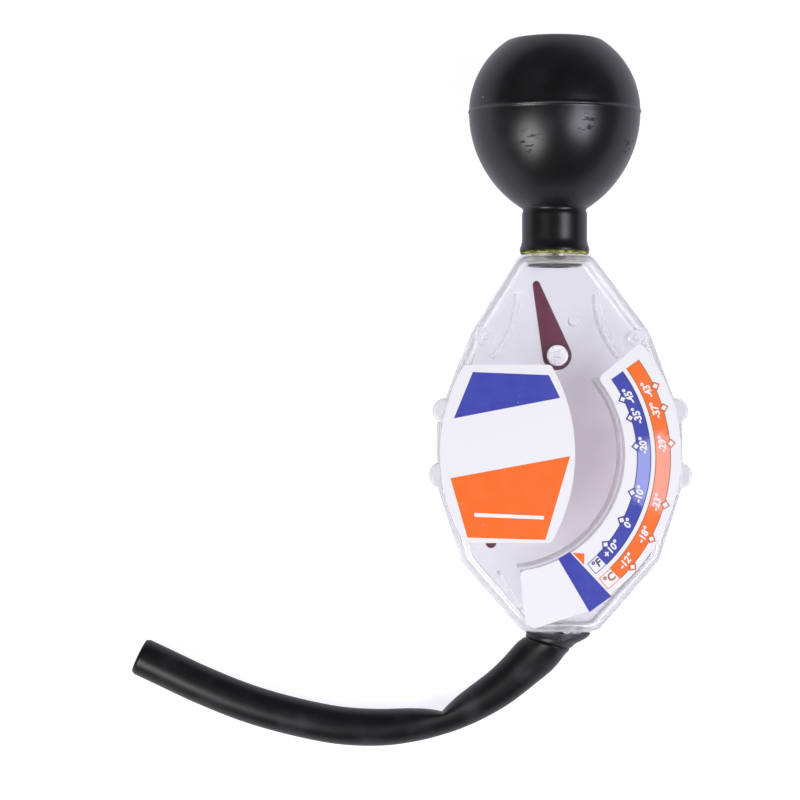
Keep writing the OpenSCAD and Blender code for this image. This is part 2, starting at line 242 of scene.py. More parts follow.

# Wear and painted light and shade: where, how far each reaches and how far it is at its fullest
# Painted shade: the chamber's middle darker and pinkish, on the back shell.
ROSY_SHADE = ((5, 46, 0), 37, 9)
# Painted shadow: darker below the float, on the back shell.
FLOAT_SHADOW = ((6.5, 66, 0), 15, 2)
BLEACHED = ((26.5, 42, HALF_T), 15, 5)
# Dust with a painted highlight: the cuff grey and lighter on its right side.
DUST_AND_SHEEN_CUFF = ((4.1, -1.6, 6), 11, 4)
# Painted shade on the seal: yellow only near its front middle, dark towards the sides.
SEAL_LIT_FRONT = ((NECK_X, CASE_H, SEAL_D / 2), 12, 8)
SCUFFS = [(6.5, 132, 21), (-8.9, 127, 19), (17, 127, 10), (9, 116, 14), (-17, 140, -14), (4, 130, -21)]
SCUFF_REACH = 4.5
SCUFF_FULL = 1.5

# The light: the floor's glow, what the case lets through, the surroundings and the soft boxes
FLOOR_GLOW = (0.84, 0.83, 0.9, 1)
FLOOR_GLOW_MIRRORED = (0.47, 0.46, 0.52, 1)
CASE_PASSES = (0.885, 0.88, 0.885, 1)
SKY = 0.1
SKY_THROUGH_CASE = 0.6
SKY_BOUNCED = 0.2
BOXES_FACE = (0, 70, 0)
BOX_DISTANCE = 1.0
BOX_WATTS = 7.0

# The photograph's view
PHOTO_PX = 800
BULB_PX = 171
MM_PER_PX = BULB_D / BULB_PX
VIEW_CENTRE = (-41.97, 61.05, 0.0)
VIEW_DISTANCE = 650.0
SENSOR = 36.0

# The case's own axes in the frame, from the joints that lie along them
joints = {joint["name"]: joint for joint in frame["joints"]}
dial_up = np.array(joints["pointer_swing"]["axis"])
to_bulb = -np.array(joints["bulb_squeeze"]["axis"])
case_axes = np.stack([np.cross(to_bulb, dial_up), to_bulb, dial_up])
outlet = np.array(joints["pointer_swing"]["pos_m"]) - MM * PIVOT @ case_axes[:2]


def lie(points):
    """Case millimetres as frame metres: outlet + x right + y towards the bulb + z out of the dial."""
    return outlet + MM * np.asarray(points, float) @ case_axes


def polar(radius, degrees):
    """Points at a radius and at angles from the right, as pairs."""
    angle = np.radians(degrees)
    return np.stack([radius * np.cos(angle), radius * np.sin(angle)], axis=-1)


def unit_vectors(vectors):
    """The vectors, each with a length of 1."""
    return vectors / np.linalg.norm(vectors, axis=-1, keepdims=True)


def swell(place, height, middle, reach):
    """A bell-shaped swell: height exp(-((place - middle) / reach)^2)."""
    return height * np.exp(-((place - middle) / reach) ** 2)


class Shade:
    """One socket of a material's nodes: an operator on it and another, or a number, adds a Math node."""

    def __init__(self, tree, socket=None):
        self.tree = tree
        self.socket = socket

    def node(self, kind, settings=None, sockets=None, output=0):
        """Adds a node with its settings, sets or links its sockets and returns one of its outputs."""
        made = self.tree.nodes.new(kind)
        for name, value in (settings or {}).items():
            setattr(made, name, value)
        for name, value in (sockets or {}).items():
            if isinstance(value, Shade):
                self.tree.links.new(value.socket, made.inputs[name])
            else:
                made.inputs[name].default_value = value
        return Shade(self.tree, made.outputs[output] if made.outputs else None)

    def math(self, operation, first, second):
        return self.node("ShaderNodeMath", {"operation": operation}, {0: first, 1: second})

    def __add__(self, other):
        return self.math("ADD", self, other)

    def __radd__(self, other):
        return self.math("ADD", other, self)

    def __sub__(self, other):
        return self.math("SUBTRACT", self, other)

    def __rsub__(self, other):
        return self.math("SUBTRACT", other, self)

    def __mul__(self, other):
        return self.math("MULTIPLY", self, other)

    def __rmul__(self, other):
        return self.math("MULTIPLY", other, self)

    def ramp(self, low, high):
        """0 below low, 1 above high, eased between; a low above high turns it round."""
        return self.node(
            "ShaderNodeMapRange",
            {"interpolation_type": "SMOOTHSTEP"},
            {"Value": self, "From Min": low, "From Max": high},
        )

    def mix(self, under, over):
        """The colour under where this is 0 and over where it is 1."""
        return self.node("ShaderNodeMix", {"data_type": "RGBA"}, {0: self, 6: under, 7: over}, 2)

    def object_place(self, stretch=(1, 1, 1)):
        """The place on the object, each way multiplied by its stretch."""
        where = self.node("ShaderNodeTexCoord", output=3)
        return self.node("ShaderNodeMapping", None, {"Vector": where, "Scale": stretch})

    def noise(self, size_mm, detail, stretch=(1, 1, 1)):
        """Cloudy values from 0 to 1, with patches of about this size."""
        sockets = {"Vector": self.object_place(stretch), "Scale": 1 / (size_mm * MM), "Detail": detail}
        return self.node("ShaderNodeTexNoise", None, sockets)

    def specks(self, spacing_mm, share):
        """1 on small round specks this far apart, each filling that share of its cell."""
        sockets = {"Vector": self.object_place(), "Scale": 1 / (spacing_mm * MM)}
        return self.node("ShaderNodeTexVoronoi", None, sockets).ramp(share, share / 2)

    def near(self, place, outer_mm, inner_mm):
        """1 within the inner distance of a place in the case, falling to 0 at the outer distance."""
        sockets = {0: self.node("ShaderNodeTexCoord", output=3), 1: tuple(lie(place))}
        gap = self.node("ShaderNodeVectorMath", {"operation": "DISTANCE"}, sockets, 1)
        return gap.ramp(outer_mm * MM, inner_mm * MM)

    def attribute(self, name):
        """A value kept on the piece's own points or faces."""
        return self.node("ShaderNodeAttribute", {"attribute_name": name}, output=2)

    def bump(self, height, depth_mm):
        """A normal tilted by a height field, whose full step is this deep."""
        return self.node("ShaderNodeBump", None, {"Height": height, "Distance": depth_mm * MM})

    def principled(self, **sockets):
        """A Principled surface. A socket's name is written in lower case with underscores."""
        named = {
            key.replace("_", " ").title().replace("Ior", "IOR"): value
            for key, value in sockets.items()
        }
        return self.node("ShaderNodeBsdfPrincipled", None, named)


def material(name, surface):
    """A material whose surface is what the function surface makes from an empty Shade."""
    made = bpy.data.materials.new(name)
    made.use_nodes = True
    made.node_tree.nodes.clear()
    shade = Shade(made.node_tree)
    shade.node("ShaderNodeOutputMaterial", None, {"Surface": surface(shade)})
    return made


def colour(code):
    """A linear colour with alpha from six hexadecimal digits."""
    parts = [int(code[i:i + 2], 16) / 255 for i in (0, 2, 4)]
    return (*[c / 12.92 if c <= 0.04045 else ((c + 0.055) / 1.055) ** 2.4 for c in parts], 1)


def clear_plastic(code, painted_shade):
    """Clear plastic: wavy and scratched where flat; lamps pass through it.

    Frosted white at rims and ribs is a painted reflection of their bright edges. Painted shade makes
    the chamber's middle darker and pinkish, and a painted shadow darkens it below the float.
    """
    def surface(shade):
        flat = 1 - shade.attribute("steep")
        scratches = shade.noise(3, 2, (1, 14, 14)).ramp(0.62, 0.72) * flat
        haze = shade.noise(11, 4).ramp(0.45, 0.8)
        # Painted shade: the middle of the chamber darker and pinkish.
        rosy_shade = shade.near(*ROSY_SHADE)
        # Painted shadow: darker below the float.
        float_shadow = shade.near(*FLOAT_SHADOW)
        plain = (0.5 * haze).mix(colour(code), colour("DDDDE2"))
        shaded_tint = (painted_shade * rosy_shade).mix(plain, colour("CBBBC3"))
        body = shade.principled(
            base_color=(0.7 * painted_shade * float_shadow).mix(shaded_tint, colour("918C9B")),
            roughness=0.03 + 0.05 * haze + 0.12 * scratches,
            ior=1.5,
            transmission_weight=1.0,
            normal=shade.bump(shade.noise(9, 1) * flat + 0.03 * scratches, 0.05),
        )
        # Painted reflection: a frosted white layer on rims, ribs and lugs stands in for their bright edges.
        milk = shade.node("ShaderNodeBsdfDiffuse", None, {"Color": colour("F4F3F6")})
        glare_cover = shade.attribute("milky") * (0.75 + 0.5 * shade.noise(4, 3))
        plastic = shade.node("ShaderNodeMixShader", None, {0: glare_cover, 1: body, 2: milk})
        passed = shade.node("ShaderNodeBsdfTransparent", None, {"Color": CASE_PASSES})
        lamp = shade.node("ShaderNodeLightPath", output="Is Shadow Ray")
        return shade.node("ShaderNodeMixShader", None, {0: lamp, 1: plastic, 2: passed})
    return surface


def bulb_rubber(shade):
    """Satin black rubber: faint bloom, grain, dull scuffs and a few pale specks.

    A painted highlight makes the seam line lighter.
    """
    patches = shade.noise(16, 4).ramp(0.45, 0.8)
    grain = shade.noise(0.3, 2)
    handled = sum(shade.near(place, SCUFF_REACH, SCUFF_FULL) for place in SCUFFS)
    scuffs = shade.noise(2.2, 4, (1, 3, 1)).ramp(0.55, 0.63) * handled
    dust = shade.specks(7.5, 0.036)
    # Painted highlight: the seam line lighter, broken up by noise.
    seam_highlight = shade.attribute("seam") * shade.noise(5, 3).ramp(0.25, 0.5)
    skin = (0.15 * patches + 0.6 * seam_highlight).mix(colour("0A0A0C"), colour("504F56"))
    return shade.principled(
        base_color=dust.mix(skin, colour("D5D4D2")),
        roughness=0.28 + 0.05 * patches + 0.3 * scuffs + 0.06 * grain,
        specular_ior_level=0.45,
        normal=shade.bump(0.6 * grain + 0.5 * scuffs, 0.014),
    )


def hose_rubber(shade):
    """Extruded rubber: lengthwise streaks, pale specks, and dust with a painted highlight on the cuff."""
    along = shade.attribute("along")
    streaks = shade.node(
        "ShaderNodeTexNoise",
        {"noise_dimensions": "1D"},
        {"W": shade.attribute("around"), "Scale": 60.0, "Detail": 2.0},
    )
    patches = shade.noise(9, 4).ramp(0.45, 0.8)
    grain = shade.noise(0.3, 2)
    # Dust and a painted highlight, both held to the cuff's right side.
    cuff_right_sheen = shade.near(*DUST_AND_SHEEN_CUFF)
    dust_and_sheen = along.ramp(5.0, 1.0) * grain.ramp(0.3, 0.7) * cuff_right_sheen
    dust = shade.specks(8, 0.02)
    skin = (0.18 * patches + 0.6 * dust_and_sheen).mix(colour("0F0F11"), colour("55545C"))
    return shade.principled(
        base_color=dust.mix(skin, colour("B9B8B8")),
        roughness=0.34 + 0.08 * patches + 0.06 * streaks + 0.2 * dust_and_sheen,
        specular_ior_level=0.35,
        normal=shade.bump(0.6 * streaks + 0.5 * grain, 0.015),
    )


def film(code, worn, faded=None):
    """Printed label film: satin, faintly mottled, with pale flecks where worn and a bleached patch."""
    def surface(shade):
        mottle = shade.noise(4, 4)
        flecks = shade.noise(0.8, 4).ramp(0.72 - 0.1 * worn, 0.8) * shade.noise(9, 2).ramp(0.45, 0.6)
        tint = (0.04 * mottle).mix(colour(code), colour("D8D6DC"))
        if faded:
            blotches = 0.9 * (shade.noise(2.5, 4) - 0.5)
            bleach = (shade.near(*BLEACHED) + blotches).ramp(0.25, 0.85)
            tint = bleach.mix(tint, colour(faded))
        return shade.principled(
            base_color=(worn * flecks).mix(tint, colour("F2F1F4")),
            roughness=0.3 + 0.12 * mottle,
            normal=shade.bump(shade.noise(0.5, 2), 0.01),
        )
    return surface


def moulded(code, speckle, dull, shine):
    """Moulded plastic: mottled colour, a fine grain and grey specks."""
    def surface(shade):
        mottle = shade.noise(2.5, 4)
        specks = shade.noise(0.6, 3).ramp(0.5, 0.65)
        tint = (0.25 * mottle).mix(colour(code), colour("2A1A22"))
        return shade.principled(
            base_color=(speckle * specks).mix(tint, colour("77747A")),
            roughness=dull + 0.15 * mottle,
            specular_ior_level=shine,
            normal=shade.bump(shade.noise(0.6, 3), 0.03),
        )
    return surface


def seal_rubber(shade):
    """Yellow-green rubber: dark grime in dashes along its edge, and painted shade that darkens its sides.
    """
    # Painted shade: dark away from the ring's front middle; grime dashes only near that middle.
    lit_front = shade.near(*SEAL_LIT_FRONT)
    dirt_and_shade = 1 - lit_front * shade.noise(1.3, 3, (1, 3, 1)).ramp(0.6, 0.5)
    return shade.principled(
        base_color=(0.85 * dirt_and_shade).mix(colour("A8A93C"), colour("1B1A12")),
        roughness=0.35 + 0.3 * dirt_and_shade,
        normal=shade.bump(shade.noise(0.5, 2), 0.04),
    )


def drawn_steel(shade):
    """Drawn wire: grey metal with fine lines round the pin."""
    lines = shade.noise(0.6, 3, (1, 1, 12))
    return shade.principled(
        base_color=lines.mix(colour("8E8F93"), colour("C9CACD")),
        metallic=1.0,
        roughness=0.22 + 0.18 * lines,
        normal=shade.bump(lines, 0.01),
    )


def floor_paint(shade):
    """Pale floor with a trace of mottle, lit from below like a light table, but less in reflections."""
    gloss = shade.node("ShaderNodeLightPath", output="Is Glossy Ray")
    through = shade.node("ShaderNodeLightPath", output="Is Transmission Ray")
    return shade.principled(
        base_color=shade.noise(300, 2).mix(colour("9A9A9B"), colour("979799")),
        roughness=0.6,
        emission_color=(gloss - through).mix(FLOOR_GLOW, FLOOR_GLOW_MIRRORED),
        emission_strength=1.0,
    )


finishes = {
    "clear_front": material("clear_front", clear_plastic("F2F2F4", 0.0)),
    # The back shell carries the painted shade and the painted shadow of the chamber.
    "clear_back": material("clear_back", clear_plastic("E5E4E7", 0.75)),
    "bulb_rubber": material("bulb_rubber", bulb_rubber),
    "hose_rubber": material("hose_rubber", hose_rubber),
    "label_white": material("label_white", film("E9E8EC", 0.0)),
    "label_print": material("label_print", film("E9E8EC", 0.0)),
    "maroon_plastic": material("maroon_plastic", moulded("52142F", 0.0, 0.3, 0.2)),
    "axle_steel": material("axle_steel", drawn_steel),
    "rivet_white": material("rivet_white", moulded("EFEEF1", 0.45, 0.12, 0.5)),
    "seal_yellow": material("seal_yellow", seal_rubber),
}
inks = {
    "blue": material("blue_ink", film("323CA6", 0.5, "949DE0")),
    "orange": material("orange_ink", film("F46A08", 0.5, "F8A08A")),
    "white": material("white_ink", film("ECEBEF", 0.0)),
    "dark": material("dark_ink", film("33365E", 0.2)),
    "brown": material("brown_ink", film("A9653A", 0.2)),
}


def grid_faces(rows, columns, wrap_rows=False):
    """The four-cornered faces between rows of points that are rings; rows that wrap join last to first."""
    row = np.arange(rows if wrap_rows else rows - 1)[:, None]
    column = np.arange(columns)[None, :]
    below = (row + 1) % rows
    after = (column + 1) % columns
    near, far = row * columns, below * columns
    return np.stack([near + column, near + after, far + after, far + column], axis=-1).reshape(-1, 4)


def add_object(name, data):
    """A new object in the scene."""
    made = bpy.data.objects.new(name, data)
    bpy.context.scene.collection.objects.link(made)
    return made


def evaluated_mesh(source):
    """The mesh that an object's modifiers or characters come to."""
    return bpy.data.meshes.new_from_object(source.evaluated_get(bpy.context.evaluated_depsgraph_get()))


def smooth(mesh, sharp_degrees):
    """Shades a mesh smooth, apart from edges above the sharp angle."""
    mesh.shade_smooth()
    mesh.set_sharp_from_angle(angle=math.radians(sharp_degrees))


def read_vectors(items, name):
    """One vector of each point or face of a mesh, as rows."""
    values = np.empty(3 * len(items), np.float32)
    items.foreach_get(name, values)
    return values.reshape(-1, 3)


def keep_values(piece, domain, **values):
    """Keeps values on a piece's points or faces, under the names by which its material reads them."""
    for name, numbers in values.items():
        layer = piece.data.attributes.new(name, "FLOAT", domain)
        layer.data.foreach_set("value", numbers.astype(np.float32))


def mesh_object(name, points, faces, sharp_degrees=35):
    """A closed mesh: doubles merged, faces turned outwards, smooth below the sharp angle."""
    mesh = bpy.data.meshes.new(name)
    mesh.from_pydata(np.asarray(points).reshape(-1, 3).tolist(), [], [list(f) for f in faces])
    work = bmesh.new()
    work.from_mesh(mesh)
    bmesh.ops.remove_doubles(work, verts=work.verts, dist=1e-8)
    bmesh.ops.recalc_face_normals(work, faces=work.faces)
    work.to_mesh(mesh)
    work.free()
    smooth(mesh, sharp_degrees)
    return add_object(name, mesh)


def dress(piece, finish, body="case", nodes=()):
    """Gives a piece its finish, its body and the nodes that it stands for."""
    piece.data.materials.clear()
    piece.data.materials.append(finish)
    if nodes:
        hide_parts(*nodes)
    if body:
        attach(piece, body)


def smooth_path(knots, steps):
    """Catmull-Rom curve through the knots, from b to c of each four a, b, c, d in a row.

    b + t/2 (c - a + t (2a - 5b + 4c - d + t (3b - 3c + d - a)))
    """
    first = np.arange(len(knots) - 1)
    a, b, c, d = (knots[np.clip(first + k, 0, len(knots) - 1)][:, None] for k in (-1, 0, 1, 2))
    t = (np.arange(steps) / steps)[None, :, None]
    curve = b + 0.5 * t * (c - a + t * (2 * a - 5 * b + 4 * c - d + t * (3 * b - 3 * c + d - a)))
    return np.concatenate([curve.reshape(-1, knots.shape[1]), knots[-1:]])


def rounded(knots, radius, steps=9, rung=2.0):
    """Points and inward normals of an anticlockwise outline whose corners are arcs of one radius.

    An arc's centre lies the radius in from both edges; its points are the centre less the radius along
    the inward normal, which turns from one edge's normal to the next. Edges get a point at each rung up.
    """
    knots = np.asarray(knots, float)
    ahead = unit_vectors(np.roll(knots, -1, axis=0) - knots)
    before = np.roll(ahead, 1, axis=0)
    start = np.arctan2(before[:, 1], before[:, 0])
    turn = np.arctan2(before[:, 0] * ahead[:, 1] - before[:, 1] * ahead[:, 0], (before * ahead).sum(1))
    inward = np.stack([-before[:, 1], before[:, 0]], axis=1)
    centre = knots - before * radius * np.tan(turn / 2)[:, None] + inward * radius
    angle = start[:, None] + turn[:, None] * np.linspace(0, 1, steps)
    normals = np.stack([-np.sin(angle), np.cos(angle)], axis=-1)
    points = (centre[:, None] - radius * normals).reshape(-1, 2)
    rows = np.c_[points, normals.reshape(-1, 2)]
    step = np.diff(rows, axis=0)
    count = np.maximum(1, np.ceil(np.abs(step[:, 1]) / rung)).astype(int)
    first = np.repeat(np.cumsum(count) - count, count)
    share = (np.arange(count.sum()) - first) / np.repeat(count, count)
    filled = np.repeat(rows[:-1], count, axis=0) + share[:, None] * np.repeat(step, count, axis=0)
    return np.split(np.concatenate([filled, rows[-1:]]), 2, axis=1)


def arc(centre, radius, start, end, steps):
    """Points of a circle from one angle to another, in degrees."""
    return np.asarray(centre) + polar(radius, np.linspace(start, end, steps))


def rim_loft(outline, normals, section):
    """Surface S(v, u) = outline(u) + inset(v) along its inward normal, at height(v).

    Each end is closed by a ladder of faces between the outline's first half and its second half.
    """
    inset, height = np.asarray(section, float).T[:, :, None, None]
    flat = outline + inset * normals
    points = np.concatenate([flat, np.broadcast_to(height, flat[..., :1].shape)], axis=-1)
    count = len(outline)
    rung = np.arange(count // 2 - 1)
    ladder = np.stack([rung, rung + 1, count - 2 - rung, count - 1 - rung], axis=1)
    last = count * (len(section) - 1)
    return points, np.concatenate([grid_faces(len(section), count), ladder, ladder + last])


def turned(profile, centre, along, sides):
    """Surface of revolution: radius(v) turned by u about a line through centre, height(v) along it."""
    radius, height = np.asarray(profile, float).T[:, :, None]
    angle = np.linspace(0, 2 * math.pi, sides, endpoint=False)
    across = centre[0] + radius * np.cos(angle)
    other = centre[1] + radius * np.sin(angle)
    height = np.broadcast_to(height, across.shape)
    order = (across, other, height) if along == "z" else (across, height, other)
    return np.stack(order, axis=-1)


def turned_object(name, profile, centre, along="z", sides=64, sharp_degrees=35):
    """A turned piece, whose profile starts and ends on the line it turns about or closes on itself."""
    points = turned(profile, centre, along, sides)
    closed = profile[0][0] > 1e-6
    faces = grid_faces(len(points), sides, wrap_rows=closed)
    return mesh_object(name, lie(points), faces, sharp_degrees)


def post(name, centre, diameter, low, high, edge=0.0, sides=40):
    """A round post from low to high, with its high edge rounded."""
    radius = diameter / 2
    corner = arc((radius - edge, 0), edge, 0, 90, 5)
    corner[:, 1] = high + math.copysign(1, high - low) * (corner[:, 1] - edge)
    flat = max(0, radius - edge - FLAT_ROW)
    profile = [(0, low), (radius, low), *corner, (flat, high), (0, high)]
    return turned_object(name, profile, centre, sides=sides)


def wall_along(path, width, low, high, draft=0.0):
    """A wall along a path in plan, from low to high: four corners carried along the path.

    It has this width at high, and less by the draft on either side at low.
    """
    ahead = unit_vectors(np.gradient(path, axis=0))
    side = np.stack([-ahead[:, 1], ahead[:, 0]], axis=1)
    wide, thin = width / 2, width / 2 - draft
    section = ((thin, low), (-thin, low), (-wide, high), (wide, high))
    corners = [np.c_[path + reach * side, np.full(len(path), height)] for reach, height in section]
    faces = grid_faces(len(path), 4).tolist()
    last = 4 * (len(path) - 1)
    return np.stack(corners, axis=1), [*faces, [0, 1, 2, 3], [last, last + 1, last + 2, last + 3]]


def boolean(base, operation, parts):
    """Joins the parts to the base or cuts them out of it, and uses them up."""
    group = bpy.data.collections.new("parts")
    for part in parts:
        group.objects.link(part)
    modifier = base.modifiers.new("parts", "BOOLEAN")
    modifier.operand_type = "COLLECTION"
    modifier.collection = group
    modifier.operation = operation
    modifier.solver = "MANIFOLD"
    result = evaluated_mesh(base)
    base.modifiers.clear()
    base.data = result
    smooth(base.data, 30)
    for part in parts:
        bpy.data.objects.remove(part)
    bpy.data.collections.remove(group)


def make_camera():
    """The camera: straight down on the dial, at the photograph's scale."""
    lens = bpy.data.cameras.new("camera")
    lens.sensor_width = SENSOR
    lens.lens = SENSOR * VIEW_DISTANCE / (PHOTO_PX * MM_PER_PX)
    camera = add_object("camera", lens)
    place = Matrix.Identity(4)
    for column in range(3):
        place.col[column][:3] = case_axes[column]
    place.col[3][:3] = lie(VIEW_CENTRE) + MM * VIEW_DISTANCE * dial_up
    camera.matrix_world = place
    bpy.context.scene.camera = camera


def hose_rings(centre, heading, pitch, radius, spread, press, pull, sides):
    """Rings about a path: spread radius cos a sideways, less by press or pull, and radius sin a up."""
    heading = np.radians(heading)
    ahead = np.stack([np.cos(heading), np.sin(heading), 0 * heading], axis=1)
    side = np.stack([np.sin(heading), -np.cos(heading), 0 * heading], axis=1)
    up = np.sin(pitch)[:, None] * ahead + np.cos(pitch)[:, None] * np.array([0, 0, 1])
    angle = np.linspace(0, 2 * math.pi, sides, endpoint=False)
    across = (radius * spread)[:, None] * np.cos(angle)
    across = across * (1 - np.where(across > 0, press[:, None], pull[:, None]))
    rise = radius[:, None] * np.sin(angle)
    return centre[:, None] + across[..., None] * side[:, None] + rise[..., None] * up[:, None]


def make_hose():
    """Rubber hose: a tube with a bore, stretched over the outlet, creased at the cuff and kinked."""
    sides = 48
    exit_mm = outlet / MM
    tilt = math.atan2(to_bulb[2], to_bulb[1])
    x, y, heading = smooth_path(np.array(HOSE_ROUTE), steps=20).T
    run = np.hypot(x, y)
    left = np.logaddexp(0, DROP_EASE * (1 - run / DROP_RUN)) / DROP_EASE
    height = HOSE_D / 2 + (exit_mm[2] - HOSE_D / 2) * left * (2 - left)
    centre = np.stack([exit_mm[0] + x, exit_mm[1] + y, height], axis=1)
    past_outlet = np.maximum(run - OUTLET_LEN, 0)
    flare = (CUFF_R + HOSE_WALL - HOSE_D / 2) * np.exp(-past_outlet / FLARE_RUN)
    crease = swell(run, *CUFF_CREASE)
    kink_gap = np.hypot(x - KINK_AT[0], y - KINK_AT[1])
    press = KINK_DEPTH * np.exp(-kink_gap / KINK_RUN)
    pull = sum(swell(run, *part) for part in CUFF_PULLS)
    spread = 1 + swell(run, *CUFF_SPREAD)
    pitch = tilt * np.exp(-run / LEVEL_RUN)
    length = np.concatenate([[0], np.cumsum(np.linalg.norm(np.diff(centre, axis=0), axis=1))])
    worn_end = END_WEAR * np.clip(1 - (length[-1] - length) / END_WEAR_RUN, 0, 1) ** 2
    tube_r = HOSE_D / 2 + flare
    skin = hose_rings(centre, heading, pitch, tube_r - crease - worn_end, spread, press, pull, sides)
    bore = hose_rings(centre, heading, pitch, tube_r - HOSE_WALL, spread, press, pull, sides)
    rings = np.concatenate([skin, bore[::-1]]) * MM
    hose = mesh_object("suction_hose", rings, grid_faces(len(rings), sides, wrap_rows=True), 50)
    along = np.repeat(np.concatenate([length, length[::-1]]), sides)
    around = np.tile(np.linspace(0, 1, sides, endpoint=False), len(rings))
    keep_values(hose, "POINT", along=along, around=around)
    dress(hose, finishes["hose_rubber"], nodes=["hose_cuff", "hose"])


def crown_profile():
    """The bulb above its widest line: its circle, a rounded corner and a shallow dome, all tangent.

    The corner's centre is its radius inside both the bulb's circle and the dome's.
    """
    bulb_r = BULB_D / 2
    near, far = bulb_r - CROWN_EDGE_R, DOME_R - CROWN_EDGE_R
    dome_y = CROWN_H - DOME_R
    corner_y = (near ** 2 - far ** 2 + dome_y ** 2) / (2 * dome_y)
    corner = np.array([math.sqrt(near ** 2 - corner_y ** 2), corner_y])
    low = math.degrees(math.atan2(corner[1], corner[0]))
    high = math.degrees(math.atan2(corner[1] - dome_y, corner[0]))
    return np.concatenate([
        arc((0, 0), bulb_r, 0, SEAM_DEGREES, 8)[:-1],
        arc((0, 0), bulb_r, SEAM_DEGREES, low, 30),
        arc(corner, CROWN_EDGE_R, low, high, 12)[1:],
        arc((0, dome_y), DOME_R, high, 90, 12)[1:],
    ])


def make_bulb():
    """Squeeze bulb: a hollow turned form with a lip, neck, crease, belly, seam and soft crown."""
    neck_r = BULB_NECK_D / 2
    belly_off = BELLY_R - BULB_D / 2
    foot = BULB_FOOT_Y - BULB_Y
    belly_end = -math.degrees(math.acos((neck_r + belly_off) / BELLY_R))
    belly = np.concatenate([
        arc((-belly_off, 0), BELLY_R, belly_end, -SEAM_DEGREES, 56),
        arc((-belly_off, 0), BELLY_R, -SEAM_DEGREES, 0, 10)[1:-1],
    ])
    neck_top = belly[0, 1]
    neck_y = np.linspace(foot - NECK_LOW, neck_top - NECK_HIGH, 24)
    lip = swell(neck_y, LIP_D / 2 - neck_r, foot, LIP_RUN)
    crease = swell(neck_y, NECK_CREASE, neck_top - NECK_CREASE_RUN, NECK_CREASE_RUN)
    neck = np.stack([neck_r + lip - crease, neck_y], axis=1)
    mouth = [(LIP_D / 2 - LIP_ROLL, foot), (LIP_D / 2 - LIP_ROLL_IN, foot - LIP_ROLL)]
    outer = np.concatenate([mouth, neck, belly, crown_profile()])
    outer[:, 0] += swell(outer[:, 1], SEAM_H, 0, SEAM_W / 2) * (outer[:, 0] > neck_r + 1)
    inner_scale = 1 - BULB_WALL / (BULB_D / 2)
    inner = np.concatenate([[(0, CROWN_H - BULB_WALL)], (crown_profile() * inner_scale)[::-1][1:]])
    lower = arc((-belly_off, 0), BELLY_R - BULB_WALL, 0, belly_end, 30)[1:]
    hole = SPIGOT_D / 2 + SPIGOT_FIT
    lower = lower[lower[:, 0] > hole]
    bore = [(hole, foot), (hole, lower[-1, 1])]
    profile = np.concatenate([outer[::-1], bore, lower[::-1], inner[::-1]])
    profile[:, 1] += BULB_Y
    bulb = turned_object("rubber_bulb", profile, (NECK_X, 0), "y", sides=128, sharp_degrees=50)
    seam_gap = (read_vectors(bulb.data.vertices, "co") - lie((NECK_X, BULB_Y, 0))) @ to_bulb / MM
    keep_values(bulb, "POINT", seam=swell(seam_gap, 1, 0, SEAM_W / 4))
    dress(bulb, finishes["bulb_rubber"], None, ["squeeze_bulb"])
    lie((NECK_X, BULB_Y + neck_top, 0))
    lie((NECK_X, BULB_Y + 0.6 * CROWN_H, 0))
    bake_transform(bulb)


def make_seal():
    """Neck seal: a flat ring whose bead shows below the bulb's neck, and in the case a dark rubber
    flange that is a painted reflection of the black neck in the clear plastic.
    """
    inner, outer = SPIGOT_D / 2 + SPIGOT_FIT, SEAL_D / 2
    high = CASE_H + SEAL_T
    edge = arc((outer - SEAL_BEAD_IN - SEAL_BEAD_R, CASE_H + SEAL_BEAD_R), SEAL_BEAD_R, -90, 60, 9)
    profile = [(inner, high), (inner, CASE_H), *edge, (outer - SEAL_TOP_IN, high)]
    ring = turned_object("seal_ring", profile, (NECK_X, 0), "y", 72)
    dress(ring, finishes["seal_yellow"], nodes=["neck_seal"])
    # Painted reflection: a dark flange where the clear neck mirrors the black neck.
    high = CASE_H - WALL - NECK_REFLECTION_GAP
    edge_r = NECK_REFLECTION_EDGE
    rim = arc((NECK_REFLECTION_D / 2 - edge_r, high - edge_r), edge_r, -90, 90, 7)
    hole = SPIGOT_BORE / 2 + NECK_REFLECTION_FIT
    profile = [(hole, high), (hole, high - 2 * edge_r), *rim]
    flange = turned_object("neck_reflection_plate", profile, (NECK_X, 0), "y", 72)
    dress(flange, finishes["bulb_rubber"])


def half_case(name, side):
    """One half shell: a wall section carried round the outline, open at the parting plane."""
    outline, normals = rounded(CASE_KNOTS, CORNER_R)
    top, floor = HALF_T, HALF_T - WALL
    lean = FLANGE_STEP + WALL_LEAN
    edge = arc((lean + EDGE_R, top - EDGE_R), EDGE_R, 90, 180, 8)
    cove_in = WALL + INNER_DRAFT + COVE_R
    cove = arc((cove_in, floor - COVE_R), COVE_R, 180, 90, 6)
    flange = [
        (FLANGE_STEP, FLANGE_H + FLANGE_SLOPE), (0, FLANGE_H), (0, PARTING_GAP), (WALL, PARTING_GAP),
    ]
    face_row, floor_row = (lean + EDGE_R + FLAT_ROW, top), (cove_in + FLAT_ROW, floor)
    points, faces = rim_loft(outline, normals, [face_row, *edge, *flange, *cove, floor_row])
    return mesh_object(name, lie(points * (1, 1, side)), faces)


def case_posts(side):
    """The lugs at the sides and the round bosses in the shoulders, from the parting plane out."""
    low = side * PARTING_GAP
    lugs = [post("lug", c, LUG_D, low, side * LUG_T / 2, LUG_EDGE) for c in LUGS]
    bosses = [post("boss", c, BOSS_D, low, side * FACE_MIDDLE) for c in BOSSES]
    return lugs + bosses


